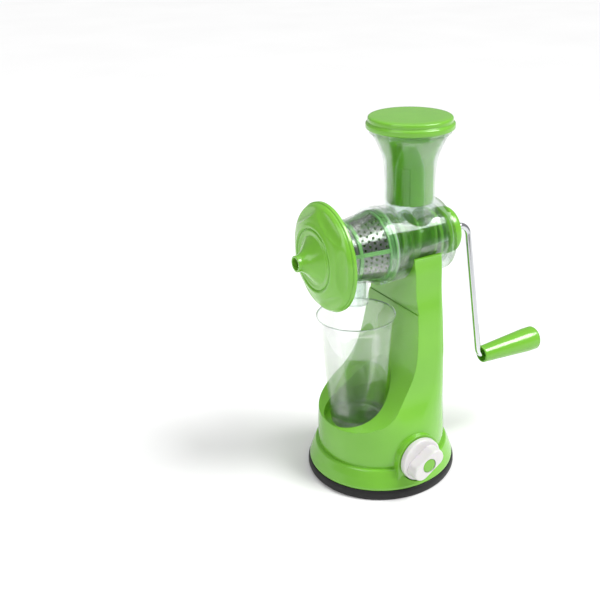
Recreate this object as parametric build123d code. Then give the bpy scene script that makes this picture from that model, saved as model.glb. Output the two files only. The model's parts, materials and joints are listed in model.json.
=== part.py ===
from build123d import *
import os
from math import cos, radians, sin

# Hand-cranked fruit and vegetable juicer with a suction base, in millimetres.
# The origin is the centre of the rubber pad's underside and +Z is up. The pulp nozzle points to -X,
# the crank is at +X, and the suction knob is on the -Y side.

# ---- Driving dimensions ----
WALL = 2.8                      # moulded wall of the stand
CLEAR_WALL = 2.0                # moulded wall of the clear bowl
GAP = 0.3                       # clearance between pieces that move past each other
RUNNING = 0.05                  # radial clearance of a shaft in its bearing

PAD_RADIUS = 67.5
PAD_HEIGHT = 8.9
PAD_SKIN = 3.0                  # rubber disc inside the ring
PAD_LIP_RADIUS = 60.5
PAD_LIP_TOP = 13.0

PLATE_Z = 13.0                  # inner plate that clamps the pad's lip
PLATE_TOP_Z = 15.5
SCREW_RADIUS = 51.5             # the plate's four screws
SCREW_ANGLES = (30, 150, 210, 330)
SCREW_SPOTS = [(SCREW_RADIUS * cos(radians(a)), SCREW_RADIUS * sin(radians(a))) for a in SCREW_ANGLES]

SKIRT_RADIUS = 65.9
SHOULDER_Z = 26.3               # top of the plinth, where the drum starts
HEAD_TOP_Z = 203.0
HEAD_CREASE_Z = 157.5
HEAD_FRONT_X = 15.0

KNOB_Z = 33.5
KNOB_BOSS_FACE_Y = -60.0
KNOB_BOSS_RADIUS = 21.5
KNOB_RADIUS = 19.6
KNOB_DISC_THICKNESS = 5.4
KNOB_BAR_FRONT_Y = -76.5
KNOB_BAR_WIDTH = 17.0
KNOB_BAR_LENGTH = 34.0
INSET_RADIUS = 6.5
KNOB_TILT = 32.0                # bar's tilt from horizontal at rest

CAM_SHAFT_RADIUS = 4.0
CAM_RADIUS = 9.0
CAM_THROW = 3.0                 # offset of the cam from the knob's axis
CAM_REST_ANGLE = -45.0          # the cam starts below the axis and ends as far above it

GLASS_X = -25.2
GLASS_BASE_Z = 52.3
GLASS_BASE_RADIUS = 23.8
GLASS_RIM_Z = 155.6
GLASS_RIM_RADIUS = 34.7
POCKET_RADIUS = 30.0
POCKET_FLOOR_Z = 52.0

AXIS_Z = 213.55                 # auger and crank axis, along X
CAP_REAR_X = -51.9
CAP_RADIUS = 46.4
DENT_COUNT = 6
DENT_RADIUS = 10.0
DENT_CENTRE = (-69.0, 0, 42.0)  # the dent roller's axis, from the cap's axis
NOZZLE_TIP_X = -82.1
NOZZLE_RADIUS = 6.9
NOZZLE_BORE = 5.2

MOUTH_RADIUS = 25.6             # outside of the cover's front tube
MOUTH_X = -57.0
MOUTH_END_X = -42.0
BEAD_X = (-35.6, -33.6)
COVER_WALL = 1.6
COVER_FRONT_RADIUS = 27.0       # at the bead
COVER_REAR_RADIUS = 31.2
COLLAR_FRONT_X = -8.7
SOCKET_END_X = -1.2
BOWL_COLLAR_RADIUS = 33.7
BOWL_COLLAR_END_X = -0.5
BOWL_DRUM_RADIUS = 32.9
BARREL_FRONT_X = 12.6
BARREL_RADIUS = 27.6
BACK_FLANGE_X = 54.0
BACK_FLANGE_RADIUS = 32.8
BACK_FACE_X = 57.0
BOWL_FOOT_X = 29.0
BOWL_FOOT_RADIUS = 5.0

NECK_X = 30.2
NECK_WALL = 1.6
NECK_RIM_Z = 310.3
LIP_RADIUS = 34.6
LIP_Z = 307.4
# The neck's outer radius at a height: straight at first, then flared into the funnel.
NECK_CURVE = [(21.8, 262.0), (22.1, 273.0), (23.9, 286.0), (27.9, 297.0), (31.6, 304.5)]
STEM_WALL = 3.0
STEM_BOTTOM_Z = 247.3
# The stem's outer radius at a height, where it widens into the funnel.
STEM_CURVE = [(19.8, 281.0), (21.2, 286.0), (25.2, 297.0), (28.9, 304.5), (29.8, 309.5)]
STEM_RADIUS = STEM_CURVE[0][0]
FLUTE_TOP_Z = 280.6
FLUTE_WIDTH = 7.0
PUSHER_RIM_RADIUS = 37.5
PUSHER_TOP_Z = 321.3

STRAINER_FRONT_X = -46.0
STRAINER_REAR_X = -4.0
STRAINER_RIB = 1.3
RIB_COUNT = 4
RIB_ANGLE = 7.0
RIB_START = 80.0
LUG_COUNT = 3
LUG_ANGLE = 14.0
LUG_START = 20.0
LUG_X = (-50.5, -47.5)
PEG_ANGLE = 10.0
PEG_START = 30.0
PEG_END_X = -5.6
SOCKET_RADIUS = 31.4
TWIST_ANGLE = 35.0              # the cap turns this far from locked to free
COLLAR_BORE = 26.0
COLLAR_RADIUS = 30.0
COLLAR_REAR_X = -44.0

SPOUT_RADIUS = 11.0
SPOUT_END_Z = 166.0

SHAFT_RADIUS = 4.0
AUGER_PITCH = 17.0
AUGER_RADIUS = 24.8
FLIGHT_MIDDLE_RADIUS = 16.0
FLIGHT_THICKNESS = 2.6
AUGER_FRONT_X = -50.0
AUGER_REAR_X = 48.0

HUB_RADIUS = 21.1
HUB_FRONT_X = 59.0
HUB_BACK_X = 74.1
ROD_RADIUS = 3.0
HUB_BEND = 9.0
GRIP_BEND = 7.0
ARM_X = 94.0
CRANK_RADIUS = 125.0
CRANK_LEAN = 10.8               # lean of the hanging crank towards -Y, in degrees
GRIP_FRONT_X = 97.6
GRIP_END_X = 164.0
GRIP_SMALL_RADIUS = 7.7
GRIP_LARGE_RADIUS = 11.5
AXLE_END_X = 152.0


# ---- Helpers ----
def outline(points, rounding=0.0):
    """A closed face in the XZ plane; rounding is one radius or a list with one per corner."""
    if rounding:
        return make_face(Plane.XZ * FilletPolyline(*points, radius=rounding, close=True))
    return make_face(Plane.XZ * Polyline(*points, close=True))


def turned_z(points, rounding=0.0, x=0.0):
    """Revolve (radius, z) points about a vertical axis that stands at x."""
    return Pos(x, 0, 0) * revolve(outline(points, rounding), axis=Axis.Z)


def turned_x(points, rounding=0.0):
    """Revolve (x, radius) points about the auger axis."""
    return Pos(0, 0, AXIS_Z) * revolve(outline(points, rounding), axis=Axis.X)


def rod_x(radius, x_start, x_end):
    """A cylinder on the auger axis between two x positions."""
    return Pos((x_start + x_end) / 2, 0, AXIS_Z) * Rot(0, 90, 0) * Cylinder(radius, x_end - x_start)


def rod_y(radius, y_start, y_end, x=0.0, z=KNOB_Z):
    """A cylinder along Y between two y positions."""
    return Pos(x, (y_start + y_end) / 2, z) * Rot(90, 0, 0) * Cylinder(radius, y_end - y_start)


def rod_z(radius, z_start, z_end, x=0.0, y=0.0):
    """A cylinder along Z between two heights."""
    return Pos(x, y, (z_start + z_end) / 2) * Cylinder(radius, z_end - z_start)


def block(x_range, y_range, z_range):
    """A box between pairs of coordinates."""
    size = [high - low for low, high in (x_range, y_range, z_range)]
    centre = [(high + low) / 2 for low, high in (x_range, y_range, z_range)]
    return Pos(*centre) * Box(*size)


def around(shape, count, axis_point, axis_direction, start=0.0):
    """Copies of a shape spaced evenly round an axis."""
    axis = Axis(axis_point, axis_direction)
    return [shape.rotate(axis, start + 360.0 * step / count) for step in range(count)]


# ---- Stand ----
# Sections of the column: height, front x, back x, half width, corner radius.
COLUMN_SECTIONS = [
    (SHOULDER_Z - 8, -57.0, 57.0, 57.0, 55.7),
    (50.0, -57.0, 57.0, 57.0, 55.7),
    (64.0, -54.0, 54.4, 53.8, 48.0),
    (76.0, -49.0, 50.4, 49.7, 34.0),
    (87.0, -44.0, 47.4, 46.6, 23.5),
    (102.0, -37.0, 45.2, 45.2, 17.6),
    (119.0, -30.0, 44.3, 44.0, 14.3),
    (140.0, -24.0, 44.0, 41.0, 11.5),
    (155.0, -19.0, 44.0, 38.5, 9.5),
    (170.0, -14.0, 44.0, 34.6, 6.2),
    (190.0, -8.0, 44.0, 31.8, 3.4),
    (HEAD_TOP_Z + 6, -8.0, 44.0, 31.4, 3.0),
]
COLUMN_LAYERS = 15
# Side view of the sloping front, from the pocket's low lip up to the head.
FRONT_CURVE = [
    (-62.0, 56.0), (-40.0, 61.5), (-20.0, 72.0), (-6.0, 87.0),
    (4.5, 105.0), (10.2, 128.0), (13.2, HEAD_CREASE_Z),
]


def column_section(z):
    """Front x, back x, half width and corner radius at a height, between the listed sections."""
    for low, high in zip(COLUMN_SECTIONS, COLUMN_SECTIONS[1:]):
        if z <= high[0]:
            share = (z - low[0]) / (high[0] - low[0])
            return [a + share * (b - a) for a, b in zip(low[1:], high[1:])]
    return list(COLUMN_SECTIONS[-1][1:])


def column(inset=0.0):
    """The stand's column as a smooth loft, shrunk by inset for the hollow inside it."""
    low_z = COLUMN_SECTIONS[0][0]
    step = (COLUMN_SECTIONS[-1][0] - low_z) / (COLUMN_LAYERS - 1)
    sections = []
    for layer in range(COLUMN_LAYERS):
        z = low_z + layer * step
        front, back, half_width, corner = column_section(z)
        depth = back - front - 2 * inset
        section = RectangleRounded(depth, 2 * (half_width - inset), max(corner - inset, 1.5))
        sections.append(Plane.XY.offset(z) * Pos((front + back) / 2, 0) * section)
    return loft(sections)


def front_cut(inset=0.0):
    """Everything in front of the stand's sloping front, moved back by inset."""
    curve = [(x + inset * 0.9, z - inset * 0.45) for x, z in FRONT_CURVE]
    last_x, last_z = curve[-1]
    head_x = HEAD_FRONT_X + inset
    edges = Spline(*curve) + Polyline(
        (last_x, last_z), (last_x + 0.8, last_z), (head_x, HEAD_TOP_Z + 20),
        (-90, HEAD_TOP_Z + 20), (-90, curve[0][1]), curve[0])
    face = make_face(Plane.XZ * edges)
    return extrude(face, 80, both=True)


def stand_body():
    """The one-piece green stand: plinth, drum, column and cradle, hollow and open underneath."""
    plinth = turned_z(
        [(0, PAD_HEIGHT), (SKIRT_RADIUS, PAD_HEIGHT), (SKIRT_RADIUS, 11.2), (63.2, 18.8),
         (60.2, SHOULDER_Z), (0, SHOULDER_Z)],
        [0.1, 0.8, 1.5, 6, 2.2, 0.1])
    boss = extrude(
        Plane.XZ.offset(-KNOB_BOSS_FACE_Y) * (
            Pos(0, KNOB_Z) * Circle(KNOB_BOSS_RADIUS)
            + Pos(0, KNOB_Z - 11) * Rectangle(2 * KNOB_BOSS_RADIUS, 22)),
        -30)
    boss = boss & block((-40, 40), (-70, -30), (PAD_HEIGHT + 4, 60))
    body = plinth + column() + boss
    body = body & block((-90, 90), (-90, 90), (PAD_HEIGHT, HEAD_TOP_Z + 2))
    body -= front_cut()
    pocket = rod_z(POCKET_RADIUS, POCKET_FLOOR_Z, 160, x=GLASS_X)
    cradle = rod_x(BARREL_RADIUS + 0.2, -10, 80)
    body -= pocket
    body -= cradle

    hollow = column(WALL) + turned_z(
        [(0, PAD_HEIGHT - 1), (SKIRT_RADIUS - WALL, PAD_HEIGHT - 1), (SKIRT_RADIUS - WALL, 12),
         (57.2, SHOULDER_Z - WALL), (0, SHOULDER_Z - WALL)])
    hollow = hollow & block((-90, 90), (-90, 90), (PAD_HEIGHT - 1, 180))
    hollow -= front_cut(WALL)
    hollow -= rod_z(POCKET_RADIUS + WALL, POCKET_FLOOR_Z - WALL, 160, x=GLASS_X)
    body -= hollow

    for x, y in SCREW_SPOTS:
        body += rod_z(4.6, 15.5, 40, x=x, y=y) & turned_z([(0, 0), (58.6, 0), (58.6, 60), (0, 60)])
        body -= rod_z(1.3, 15, 30, x=x, y=y)
    body -= rod_y(CAM_SHAFT_RADIUS + 4.5, -70, -40)
    body -= rod_y(KNOB_RADIUS + 1.2, -80, KNOB_BOSS_FACE_Y - 0.1)
    body -= rod_z(BOWL_FOOT_RADIUS + GAP, 178, 190, x=BOWL_FOOT_X)
    return body


def suction_pad():
    """Rubber pad: a flat disc with a thick outer ring and a lip that the base plate clamps."""
    return turned_z(
        [(0, 0), (66.2, 0), (PAD_RADIUS, 2.6), (67.3, 6.6), (66.4, PAD_HEIGHT),
         (PAD_LIP_RADIUS, PAD_HEIGHT),
         (PAD_LIP_RADIUS, PAD_LIP_TOP), (56.5, PAD_LIP_TOP), (56.5, PAD_SKIN), (0, PAD_SKIN)])


def base_plate():
    """Inner plate that clamps the pad's lip and carries the cam shaft in two lugs."""
    plate = rod_z(PAD_LIP_RADIUS - 0.2, PLATE_Z, PLATE_TOP_Z)
    plate -= rod_z(7.4, PLATE_Z - 1, PLATE_TOP_Z + 1)
    for y in (-16.0, 12.0):
        plate += block((-9, 9), (y, y + 4), (PLATE_TOP_Z, KNOB_Z)) + rod_y(9, y, y + 4)
    plate -= rod_y(CAM_SHAFT_RADIUS + RUNNING, -20, 20)
    for x, y in SCREW_SPOTS:
        plate -= rod_z(1.8, PLATE_Z - 1, PLATE_TOP_Z + 1, x=x, y=y)
    return plate


def base_screws():
    """Four self-tapping screws that hold the base plate to the stand."""
    screws = []
    for x, y in SCREW_SPOTS:
        head = turned_z([(0, 10.6), (2.2, 10.6), (3.2, 11.6), (3.2, PLATE_Z), (0, PLATE_Z)])
        slot = block((-0.5, 0.5), (-2.2, 2.2), (10, 11.5)) + block((-2.2, 2.2), (-0.5, 0.5), (10, 11.5))
        screw = head - slot + rod_z(1.3, PLATE_Z, 28)
        screws.append(Pos(x, y, 0) * screw)
    return Compound(children=screws)


def cam_centre():
    """The cam's centre at rest, as (x, z)."""
    angle = radians(CAM_REST_ANGLE)
    return CAM_THROW * cos(angle), KNOB_Z + CAM_THROW * sin(angle)


def pad_stud():
    """Plunger that the cam lifts to pull the pad's middle up: flange, stem and slotted head."""
    cam_z = cam_centre()[1]
    window_z = (cam_z - CAM_RADIUS - GAP, cam_z + CAM_RADIUS + GAP)
    flange = turned_z([(0, PAD_SKIN), (14, PAD_SKIN), (14, 5), (7, 6.4), (7, 17), (0, 17)])
    head = block((-17, 17), (-5, 5), (17, window_z[1] + 3.2))
    window = block((-13.4, 13.4), (-6, 6), window_z)
    return flange + head - window


def cam_shaft():
    """Shaft with the eccentric cam, turned by the knob."""
    cam_x, cam_z = cam_centre()
    shaft = rod_y(CAM_SHAFT_RADIUS, -64.5, 18)
    cam = rod_y(CAM_RADIUS, -4.6, 4.6, x=cam_x, z=cam_z)
    return shaft + cam - rod_y(1.4, -65, -50)


def cam_clip():
    """Retaining ring on the inner end of the cam shaft."""
    ring = rod_y(7, 16.4, 17.6) - rod_y(CAM_SHAFT_RADIUS, 16, 18)
    return ring - block((-1.6, 1.6), (16, 18), (KNOB_Z - 8, KNOB_Z - 3))


def vacuum_knob():
    """White knob: a disc with a raised bar across it."""
    back_y = KNOB_BOSS_FACE_Y - 0.5
    front_y = back_y - KNOB_DISC_THICKNESS
    disc = rod_y(KNOB_RADIUS, front_y, back_y)
    disc = fillet(disc.edges().sort_by(Axis.Y)[0], 1.6)
    bar = extrude(
        Plane.XZ.offset(-front_y - 0.5) * SlotOverall(KNOB_BAR_LENGTH, KNOB_BAR_WIDTH),
        front_y + 0.5 - KNOB_BAR_FRONT_Y)
    bar = fillet(bar.edges().group_by(Axis.Y)[0], 2.4)
    bar = Pos(0, 0, KNOB_Z) * bar
    knob = disc + bar.rotate(Axis((0, 0, KNOB_Z), (0, 1, 0)), -KNOB_TILT)
    knob -= rod_y(CAM_SHAFT_RADIUS, -64.5, -55)
    knob -= rod_y(1.6, -72, -60)
    knob -= rod_y(INSET_RADIUS + 0.1, KNOB_BAR_FRONT_Y - 1, KNOB_BAR_FRONT_Y + 4.5)
    return knob


def knob_screw():
    """Screw that holds the knob on its shaft, under the inset."""
    head_y = KNOB_BAR_FRONT_Y + 4.5
    return rod_y(3, head_y - 1.6, head_y) + rod_y(1.4, head_y, -52)


def knob_inset():
    """Green disc that covers the knob's screw."""
    inset = rod_y(INSET_RADIUS, KNOB_BAR_FRONT_Y + 0.2, KNOB_BAR_FRONT_Y + 2.6)
    return fillet(inset.edges().sort_by(Axis.Y)[0], 0.6)


# ---- Bowl, strainer and front cap ----
def neck(outside):
    """The hopper neck and funnel above the barrel, as a filled solid of its outside or inside."""
    step = 0.0 if outside else NECK_WALL
    points = [(radius - step, z) for radius, z in NECK_CURVE]
    low_radius, low_z = points[0]
    top_radius = points[-1][0] + 0.9
    edges = Spline(*points, tangents=[(0, 1), (0.55, 1)]) + Polyline(
        points[-1], (top_radius, NECK_RIM_Z + 1), (0, NECK_RIM_Z + 1), (0, AXIS_Z), (low_radius, AXIS_Z),
        (low_radius, low_z))
    solid = revolve(make_face(Plane.XZ * edges), axis=Axis.Z)
    if outside:
        solid = solid & block((-60, 60), (-60, 60), (AXIS_Z, NECK_RIM_Z))
        lip = outline([(30, LIP_Z), (LIP_RADIUS, LIP_Z), (LIP_RADIUS, NECK_RIM_Z), (30, NECK_RIM_Z)])
        solid += revolve(lip, axis=Axis.Z)
    return Pos(NECK_X, 0, 0) * solid


def bowl():
    """Clear bowl: socket, drum and barrel with the back flange, hopper neck and foot."""
    shell = turned_x(
        [(COLLAR_FRONT_X, 0), (COLLAR_FRONT_X, BOWL_COLLAR_RADIUS), (BOWL_COLLAR_END_X, BOWL_COLLAR_RADIUS),
         (BOWL_COLLAR_END_X, BOWL_DRUM_RADIUS), (BARREL_FRONT_X, BOWL_DRUM_RADIUS),
         (BARREL_FRONT_X, BARREL_RADIUS),
         (BACK_FLANGE_X, BARREL_RADIUS), (BACK_FLANGE_X, BACK_FLANGE_RADIUS),
         (BACK_FACE_X, BACK_FLANGE_RADIUS),
         (BACK_FACE_X, 0)])
    shell += neck(outside=True)
    shell += rod_z(BOWL_FOOT_RADIUS, 177, AXIS_Z - 26, x=BOWL_FOOT_X)
    back_x = BACK_FLANGE_X - 0.5
    shell -= turned_x(
        [(COLLAR_FRONT_X - 1, 0), (COLLAR_FRONT_X - 1, SOCKET_RADIUS), (SOCKET_END_X, SOCKET_RADIUS),
         (SOCKET_END_X, 30.2), (BARREL_FRONT_X - 4, 30.2), (BARREL_FRONT_X - 1, BARREL_RADIUS - CLEAR_WALL),
         (back_x, BARREL_RADIUS - CLEAR_WALL), (back_x, 0)])
    shell -= neck(outside=False)
    shell -= rod_z(1.6, 176, 184.5, x=BOWL_FOOT_X)
    shell -= rod_x(7, BACK_FLANGE_X - 2, BACK_FACE_X + 1)
    for step in range(LUG_COUNT):
        shell -= ring_sector(
            (30, 40), (COLLAR_FRONT_X - 1, PEG_END_X + GAP), PEG_ANGLE + 1, PEG_START + 120 * step)
    return shell


def ring_sector(radii, x_range, angle, start):
    """Part of a ring round the auger axis, angle degrees wide and centred on start degrees."""
    face = outline(
        [(x_range[0], radii[0]), (x_range[1], radii[0]), (x_range[1], radii[1]), (x_range[0], radii[1])])
    sector = revolve(face, axis=Axis.X, revolution_arc=angle)
    return Pos(0, 0, AXIS_Z) * sector.rotate(Axis.X, start - angle / 2)


def strainer_cover():
    """Clear cone round the strainer, with the cap's bayonet lugs, the juice spout and rear pegs."""
    cover = turned_x(
        [(MOUTH_X, 0), (MOUTH_X, MOUTH_RADIUS), (MOUTH_END_X, MOUTH_RADIUS),
         (BEAD_X[0], COVER_FRONT_RADIUS - 0.4),
         (BEAD_X[0], COVER_FRONT_RADIUS + 0.7), (BEAD_X[1], COVER_FRONT_RADIUS + 0.7),
         (BEAD_X[1], COVER_FRONT_RADIUS), (COLLAR_FRONT_X, COVER_REAR_RADIUS),
         (STRAINER_REAR_X, COVER_REAR_RADIUS),
         (STRAINER_REAR_X, 0)])
    cover += rod_z(SPOUT_RADIUS, SPOUT_END_Z, AXIS_Z - 26, x=GLASS_X)
    cover -= turned_x(
        [(MOUTH_X - 1, 0), (MOUTH_X - 1, MOUTH_RADIUS - COVER_WALL),
         (MOUTH_END_X, MOUTH_RADIUS - COVER_WALL),
         (BEAD_X[1], COVER_FRONT_RADIUS - COVER_WALL), (COLLAR_FRONT_X, COVER_REAR_RADIUS - COVER_WALL),
         (STRAINER_REAR_X + 1, COVER_REAR_RADIUS - COVER_WALL), (STRAINER_REAR_X + 1, 0)])
    cover -= rod_z(SPOUT_RADIUS - CLEAR_WALL, SPOUT_END_Z - 1, AXIS_Z - 20, x=GLASS_X)
    for step in range(LUG_COUNT):
        lug_radii = (MOUTH_RADIUS - 1, MOUTH_RADIUS + 1.6)
        cover += ring_sector(lug_radii, LUG_X, LUG_ANGLE, LUG_START + 120 * step)
        peg_radii = (COVER_REAR_RADIUS - 1, BOWL_COLLAR_RADIUS)
        cover += ring_sector(peg_radii, (COLLAR_FRONT_X, PEG_END_X), PEG_ANGLE, PEG_START + 120 * step)
    return cover


def cover_seal():
    """Soft ring between the strainer's flange and the bowl's shoulder."""
    return turned_x(
        [(SOCKET_END_X - 1, 30.0), (SOCKET_END_X, 30.0), (SOCKET_END_X, 31.2), (SOCKET_END_X - 1, 31.2)])


def bowl_screw():
    """Screw under the cradle that holds the bowl's foot."""
    screw = rod_z(1.6, 174.8, 184) + turned_z(
        [(0, 172.6), (2.6, 172.6), (3.4, 173.4), (3.4, 174.8), (0, 174.8)])
    screw -= block((-0.5, 0.5), (-2.4, 2.4), (172, 173.6))
    return Pos(BOWL_FOOT_X, 0, 0) * screw


def bowl_washer():
    """Wide washer between the screw's head and the foot's end."""
    return rod_z(9, 174.8, 176.2, x=BOWL_FOOT_X) - rod_z(1.7, 174, 177, x=BOWL_FOOT_X)


def strainer_radius(x):
    """Outside radius of the strainer's steel cone at x, a rib and a gap inside the cover."""
    slope = (COVER_REAR_RADIUS - COVER_FRONT_RADIUS) / (COLLAR_FRONT_X - BEAD_X[1])
    cover_inside = COVER_FRONT_RADIUS - COVER_WALL + slope * (x - BEAD_X[1])
    return min(cover_inside, COVER_REAR_RADIUS - COVER_WALL) - GAP - STRAINER_RIB


def cone_band(x_start, x_end, low, high):
    """A conical band between two heights above the strainer's outside."""
    return turned_x([(x_start, strainer_radius(x_start) + low), (x_end, strainer_radius(x_end) + low),
                     (x_end, strainer_radius(x_end) + high), (x_start, strainer_radius(x_start) + high)])


def strainer_sheet():
    """Perforated steel cone."""
    sheet = cone_band(STRAINER_FRONT_X, COLLAR_FRONT_X, -0.6, 0)
    holes = []
    for row in range(4):
        drill = Pos(STRAINER_FRONT_X + 6.5 + row * 8.2, 0, AXIS_Z + 26) * Cylinder(1.5, 14)
        holes += around(drill, 12, (0, 0, AXIS_Z), (1, 0, 0), start=15 * (row % 2))
    return sheet - holes


def strainer_frame():
    """Pale plastic frame of the strainer: rings joined by ribs, with a flange that the bowl clamps."""
    frame = cone_band(STRAINER_FRONT_X, COLLAR_FRONT_X, 0, STRAINER_RIB)
    windows = [(STRAINER_FRONT_X + 3, -35.4), (-32.8, COLLAR_FRONT_X - 0.4)]
    for x_range in windows:
        for step in range(RIB_COUNT):
            frame -= ring_sector(
                (18, 40), x_range, 360 / RIB_COUNT - RIB_ANGLE,
                RIB_START + (step + 0.5) * 360 / RIB_COUNT)
    inside = strainer_radius(COLLAR_FRONT_X)
    flange_end_x = SOCKET_END_X - 1
    return frame + turned_x(
        [(COLLAR_FRONT_X - 0.4, inside), (flange_end_x, inside), (flange_end_x, 31.2),
         (STRAINER_REAR_X, 31.2),
         (STRAINER_REAR_X, inside + STRAINER_RIB), (COLLAR_FRONT_X - 0.4, inside + STRAINER_RIB)])


def front_seal():
    """Rubber ring between the cover's mouth and the cap."""
    return turned_x([(MOUTH_X - 1.4, 22.6), (MOUTH_X, 23.6), (MOUTH_X, 25.4), (MOUTH_X - 1.4, 25.4)])


def dent_cutter(radius):
    """A roller that presses one oval dent into the top of the cap's dome."""
    return Pos(*DENT_CENTRE) * Rot(90, 0, 0) * Cylinder(radius, 60)


def front_cap():
    """Green cap: a dished cover with a raised ring, a cone and the pulp nozzle."""
    wall = 2.2
    outer = make_face(Plane.XZ * (
        Spline((-67.4, 22.4), (-69.8, 16.4), (-73.2, 11.0), (-78.4, NOZZLE_RADIUS),
               tangents=[(-0.45, -1), (-1, -0.3)])
        + Polyline((-78.4, NOZZLE_RADIUS), (NOZZLE_TIP_X, NOZZLE_RADIUS), (NOZZLE_TIP_X, 0),
                   (CAP_REAR_X, 0), (CAP_REAR_X, CAP_RADIUS), (-54.6, CAP_RADIUS), (-55.2, 45.2),
                   (-56.2, 45.4))
        + Spline((-56.2, 45.4), (-60.4, 41.6), (-63.6, 35.4), (-65.3, 30.4),
        tangents=[(-1, -0.25), (-0.2, -1)])
        + Spline((-65.3, 30.4), (-68.4, 26.8), (-67.4, 22.4), tangents=[(-1, -0.5), (1, -0.5)])))
    inner = make_face(Plane.XZ * (
        Polyline((-63.4, 22.0), (-75.0, NOZZLE_BORE), (NOZZLE_TIP_X - 1, NOZZLE_BORE),
                 (NOZZLE_TIP_X - 1, 0), (CAP_REAR_X + 1, 0), (CAP_REAR_X + 1, CAP_RADIUS - wall),
                 (-54.4, 43.2))
        + Spline((-54.4, 43.2), (-58.2, 39.8), (-61.0, 34.4), (-63.4, 22.0))))
    dents = around(dent_cutter(DENT_RADIUS), DENT_COUNT, (0, 0, 0), (1, 0, 0), start=180 / DENT_COUNT)
    bulges = around(
        dent_cutter(DENT_RADIUS + wall), DENT_COUNT, (0, 0, 0), (1, 0, 0), start=180 / DENT_COUNT)
    cap = revolve(outer, axis=Axis.X) - dents - (revolve(inner, axis=Axis.X) - bulges)
    cap += revolve(outline(
        [(-64.6, 22.4), (MOUTH_X - 1.4, 22.4), (MOUTH_X - 1.4, COLLAR_BORE), (COLLAR_REAR_X, COLLAR_BORE),
         (COLLAR_REAR_X, COLLAR_RADIUS), (-63.4, COLLAR_RADIUS)]), axis=Axis.X)
    cap = Pos(0, 0, AXIS_Z) * cap
    groove = (LUG_X[0] - GAP, LUG_X[1] + GAP)
    groove_radius = MOUTH_RADIUS + 1.9
    cap -= turned_x(
        [(groove[0], 25), (groove[1], 25), (groove[1], groove_radius), (groove[0], groove_radius)])
    for step in range(LUG_COUNT):
        entry = LUG_START - TWIST_ANGLE + step * 360 / LUG_COUNT
        cap -= ring_sector((25, groove_radius), (groove[0], COLLAR_REAR_X + 1), LUG_ANGLE + 3, entry)
    return cap


# ---- Auger and crank ----
def auger():
    """Green auger: a tapered core with a helical flight and a rear disc, bored for the drive shaft."""
    core = turned_x(
        [(AUGER_FRONT_X - 4, 0), (AUGER_FRONT_X - 4, 9.0), (AUGER_REAR_X, 13.0), (AUGER_REAR_X, 0)])
    length = AUGER_REAR_X - AUGER_FRONT_X - 6
    path = Helix(pitch=AUGER_PITCH, height=length, radius=FLIGHT_MIDDLE_RADIUS)
    depth = 2 * (AUGER_RADIUS - FLIGHT_MIDDLE_RADIUS)
    section = Plane(path @ 0, x_dir=(1, 0, 0), z_dir=path % 0) * Rectangle(depth, FLIGHT_THICKNESS)
    flight = Pos(AUGER_FRONT_X + 2, 0, AXIS_Z) * Rot(0, 90, 0) * sweep(section, path=path, is_frenet=True)
    envelope = turned_x(
        [(AUGER_FRONT_X, 0), (AUGER_FRONT_X, 19.2), (-8, 26.4), (AUGER_REAR_X, 26.4), (AUGER_REAR_X, 0)])
    screw = core + (flight & envelope)
    screw += rod_x(24.4, AUGER_REAR_X - 1.5, AUGER_REAR_X + 1.5)
    return screw - rod_x(SHAFT_RADIUS, -12, 60)


def drive_shaft():
    """Steel shaft moulded into the auger, out through the bush to the hub."""
    return rod_x(SHAFT_RADIUS, -12, 70)


def shaft_bush():
    """White bearing bush in the bowl's back plate."""
    bush = turned_x(
        [(51, SHAFT_RADIUS + RUNNING), (51, 9), (BACK_FLANGE_X - 0.5, 9), (BACK_FLANGE_X - 0.5, 7),
                     (BACK_FACE_X, 7), (BACK_FACE_X, SHAFT_RADIUS + RUNNING)])
    return bush


def rear_seal():
    """Rubber washer on the bowl's back face."""
    return turned_x([(BACK_FACE_X, 5), (BACK_FACE_X, 12), (BACK_FACE_X + 1.6, 12), (BACK_FACE_X + 1.6, 5)])


def crank_hub():
    """Green hub that locks the crank to the drive shaft."""
    hub = turned_x(
        [(HUB_FRONT_X, 0), (HUB_FRONT_X, 18.5), (HUB_FRONT_X + 4, HUB_RADIUS), (HUB_BACK_X - 1, HUB_RADIUS),
         (HUB_BACK_X, 12), (HUB_BACK_X, 0)],
        [0.5, 1.5, 3, 4, 5, 0.5])
    hub -= rod_x(SHAFT_RADIUS, HUB_FRONT_X - 1, 70)
    hub -= rod_x(ROD_RADIUS, 70, HUB_BACK_X + 1)
    return hub - hub_insert_blank()


def hub_insert_blank():
    """The pocket that the hub's steel nut fills."""
    nut = extrude(Plane.YZ.offset(62) * RegularPolygon(7.5, 6), 6)
    return Pos(0, 0, AXIS_Z) * nut


def hub_insert():
    """Hexagonal steel nut moulded into the hub."""
    return hub_insert_blank() - rod_x(SHAFT_RADIUS, 60, 70)


def crank_point(x, distance):
    """A point on the crank arm's plane, at a distance from the auger axis."""
    lean = radians(CRANK_LEAN)
    return x, -distance * sin(lean), AXIS_Z - distance * cos(lean)


def crank_rod():
    """Chrome rod: out of the hub, down the arm and out again as the grip's axle."""
    route = FilletPolyline(crank_point(70, 0), crank_point(ARM_X, 0), crank_point(ARM_X, CRANK_RADIUS),
                           crank_point(AXLE_END_X, CRANK_RADIUS), radius=[HUB_BEND, GRIP_BEND])
    section = Plane(route @ 0, z_dir=(1, 0, 0)) * Circle(ROD_RADIUS)
    return sweep(section, path=route)


def on_grip_axis(shape):
    """Move a shape turned about the world X axis onto the grip's axis."""
    x, y, z = crank_point(0, CRANK_RADIUS)
    return Pos(x, y, z) * shape


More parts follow.
